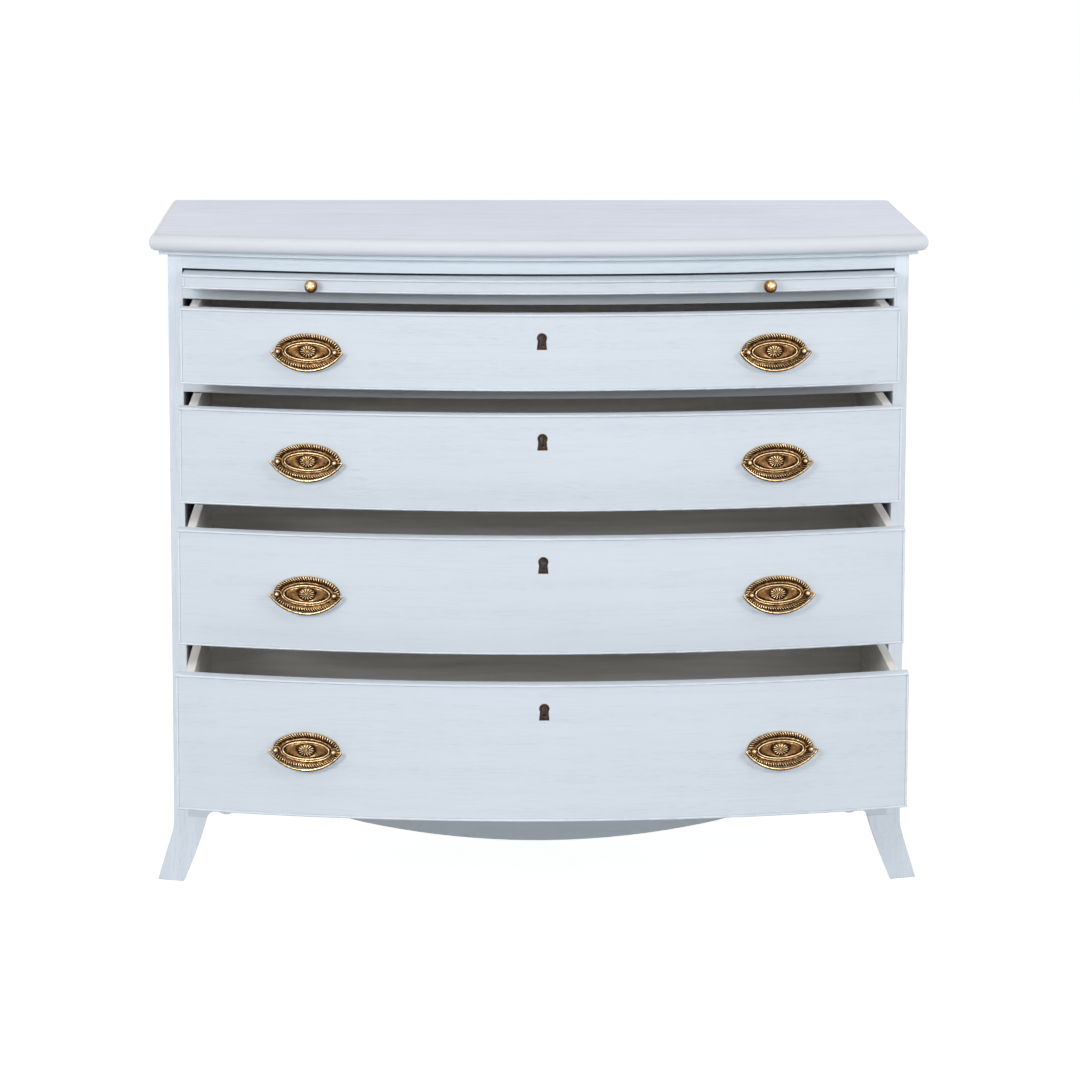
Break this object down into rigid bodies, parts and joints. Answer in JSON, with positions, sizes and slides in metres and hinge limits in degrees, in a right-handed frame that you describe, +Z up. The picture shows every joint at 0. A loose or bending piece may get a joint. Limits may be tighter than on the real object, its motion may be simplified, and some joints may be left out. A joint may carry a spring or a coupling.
{
  "type": "bow front chest of drawers",
  "caption": "Painted bow front chest with graduated cock-beaded drawers, a brushing slide, oval brass bail handles and splayed feet.",
  "frame": {"origin": "on the floor, under the middle of the chest as it stands with its drawers part open", "axes": "+Z up, +X to the right seen from the front, the bowed front faces -Y"},
  "size_m": [1, 0.787, 0.855],
  "materials": {
    "painted_oak": "pale blue painted open-grain oak, satin",
    "drawer_lining": "limed oak drawer lining, matt",
    "antique_brass": "aged brass with dark recesses",
    "polished_brass": "polished brass",
    "dark_bronze": "dark bronze keyhole insert"
  },
  "bodies": {
    "case": {"top_board": "painted_oak", "top_moulding": "painted_oak", "left_side": "painted_oak", "right_side": "painted_oak", "back_panel": "drawer_lining", "frieze_rail": "painted_oak", "slide_rail": "painted_oak", "drawer_rails": "painted_oak", "bottom_board": "drawer_lining", "front_apron": "painted_oak", "front_feet": "painted_oak", "back_feet": "painted_oak", "corner_blocks": "drawer_lining", "drawer_runners": "drawer_lining", "slide_bearers": "drawer_lining", "drawer_stops": "drawer_lining"},
    "top_drawer": {"top_drawer_front": "painted_oak", "top_drawer_cock_beads": "painted_oak", "top_drawer_sides": "drawer_lining", "top_drawer_back": "drawer_lining", "top_drawer_bottom": "drawer_lining", "top_drawer_keyhole": "dark_bronze", "top_drawer_handle_plates": "antique_brass", "top_drawer_handle_posts": "antique_brass"},
    "top_drawer_left_bail": {"top_drawer_left_bail": "antique_brass"},
    "top_drawer_right_bail": {"top_drawer_right_bail": "antique_brass"},
    "second_drawer": {"second_drawer_front": "painted_oak", "second_drawer_cock_beads": "painted_oak", "second_drawer_sides": "drawer_lining", "second_drawer_back": "drawer_lining", "second_drawer_bottom": "drawer_lining", "second_drawer_keyhole": "dark_bronze", "second_drawer_handle_plates": "antique_brass", "second_drawer_handle_posts": "antique_brass"},
    "second_drawer_left_bail": {"second_drawer_left_bail": "antique_brass"},
    "second_drawer_right_bail": {"second_drawer_right_bail": "antique_brass"},
    "third_drawer": {"third_drawer_front": "painted_oak", "third_drawer_cock_beads": "painted_oak", "third_drawer_sides": "drawer_lining", "third_drawer_back": "drawer_lining", "third_drawer_bottom": "drawer_lining", "third_drawer_keyhole": "dark_bronze", "third_drawer_handle_plates": "antique_brass", "third_drawer_handle_posts": "antique_brass"},
    "third_drawer_left_bail": {"third_drawer_left_bail": "antique_brass"},
    "third_drawer_right_bail": {"third_drawer_right_bail": "antique_brass"},
    "bottom_drawer": {"bottom_drawer_front": "painted_oak", "bottom_drawer_cock_beads": "painted_oak", "bottom_drawer_sides": "drawer_lining", "bottom_drawer_back": "drawer_lining", "bottom_drawer_bottom": "drawer_lining", "bottom_drawer_keyhole": "dark_bronze", "bottom_drawer_handle_plates": "antique_brass", "bottom_drawer_handle_posts": "antique_brass"},
    "bottom_drawer_left_bail": {"bottom_drawer_left_bail": "antique_brass"},
    "bottom_drawer_right_bail": {"bottom_drawer_right_bail": "antique_brass"},
    "brushing_slide": {"slide_board": "painted_oak", "slide_cock_beads": "painted_oak", "slide_knobs": "polished_brass"}
  },
  "joints": [
    {"name": "top_drawer_slide", "type": "slide", "parent": "case", "child": "top_drawer", "axis": [0, -1, 0], "range_m": [-0.093, 0.237]},
    {"name": "top_drawer_left_bail_swing", "type": "hinge", "parent": "top_drawer", "child": "top_drawer_left_bail", "pos_m": [-0.29578, -0.19794, 0.7185], "axis": [-0.9802, 0.1979, 0], "range_deg": [-5, 180]},
    {"name": "top_drawer_right_bail_swing", "type": "hinge", "parent": "top_drawer", "child": "top_drawer_right_bail", "pos_m": [0.29578, -0.19794, 0.7185], "axis": [-0.9802, -0.1979, 0], "range_deg": [-5, 180]},
    {"name": "second_drawer_slide", "type": "slide", "parent": "case", "child": "second_drawer", "axis": [0, -1, 0], "range_m": [-0.137, 0.193]},
    {"name": "second_drawer_left_bail_swing", "type": "hinge", "parent": "second_drawer", "child": "second_drawer_left_bail", "pos_m": [-0.29578, -0.24194, 0.585], "axis": [-0.9802, 0.1979, 0], "range_deg": [-5, 180]},
    {"name": "second_drawer_right_bail_swing", "type": "hinge", "parent": "second_drawer", "child": "second_drawer_right_bail", "pos_m": [0.29578, -0.24194, 0.585], "axis": [-0.9802, -0.1979, 0], "range_deg": [-5, 180]},
    {"name": "third_drawer_slide", "type": "slide", "parent": "case", "child": "third_drawer", "axis": [0, -1, 0], "range_m": [-0.195, 0.135]},
    {"name": "third_drawer_left_bail_swing", "type": "hinge", "parent": "third_drawer", "child": "third_drawer_left_bail", "pos_m": [-0.29578, -0.29994, 0.4265], "axis": [-0.9802, 0.1979, 0], "range_deg": [-5, 180]},
    {"name": "third_drawer_right_bail_swing", "type": "hinge", "parent": "third_drawer", "child": "third_drawer_right_bail", "pos_m": [0.29578, -0.29994, 0.4265], "axis": [-0.9802, -0.1979, 0], "range_deg": [-5, 180]},
    {"name": "bottom_drawer_slide", "type": "slide", "parent": "case", "child": "bottom_drawer", "axis": [0, -1, 0], "range_m": [-0.266, 0.064]},
    {"name": "bottom_drawer_left_bail_swing", "type": "hinge", "parent": "bottom_drawer", "child": "bottom_drawer_left_bail", "pos_m": [-0.29578, -0.37094, 0.243], "axis": [-0.9802, 0.1979, 0], "range_deg": [-5, 180]},
    {"name": "bottom_drawer_right_bail_swing", "type": "hinge", "parent": "bottom_drawer", "child": "bottom_drawer_right_bail", "pos_m": [0.29578, -0.37094, 0.243], "axis": [-0.9802, -0.1979, 0], "range_deg": [-5, 180]},
    {"name": "brushing_slide_slide", "type": "slide", "parent": "case", "child": "brushing_slide", "axis": [0, -1, 0], "range_m": [-0.052, 0.25]}
  ]
}
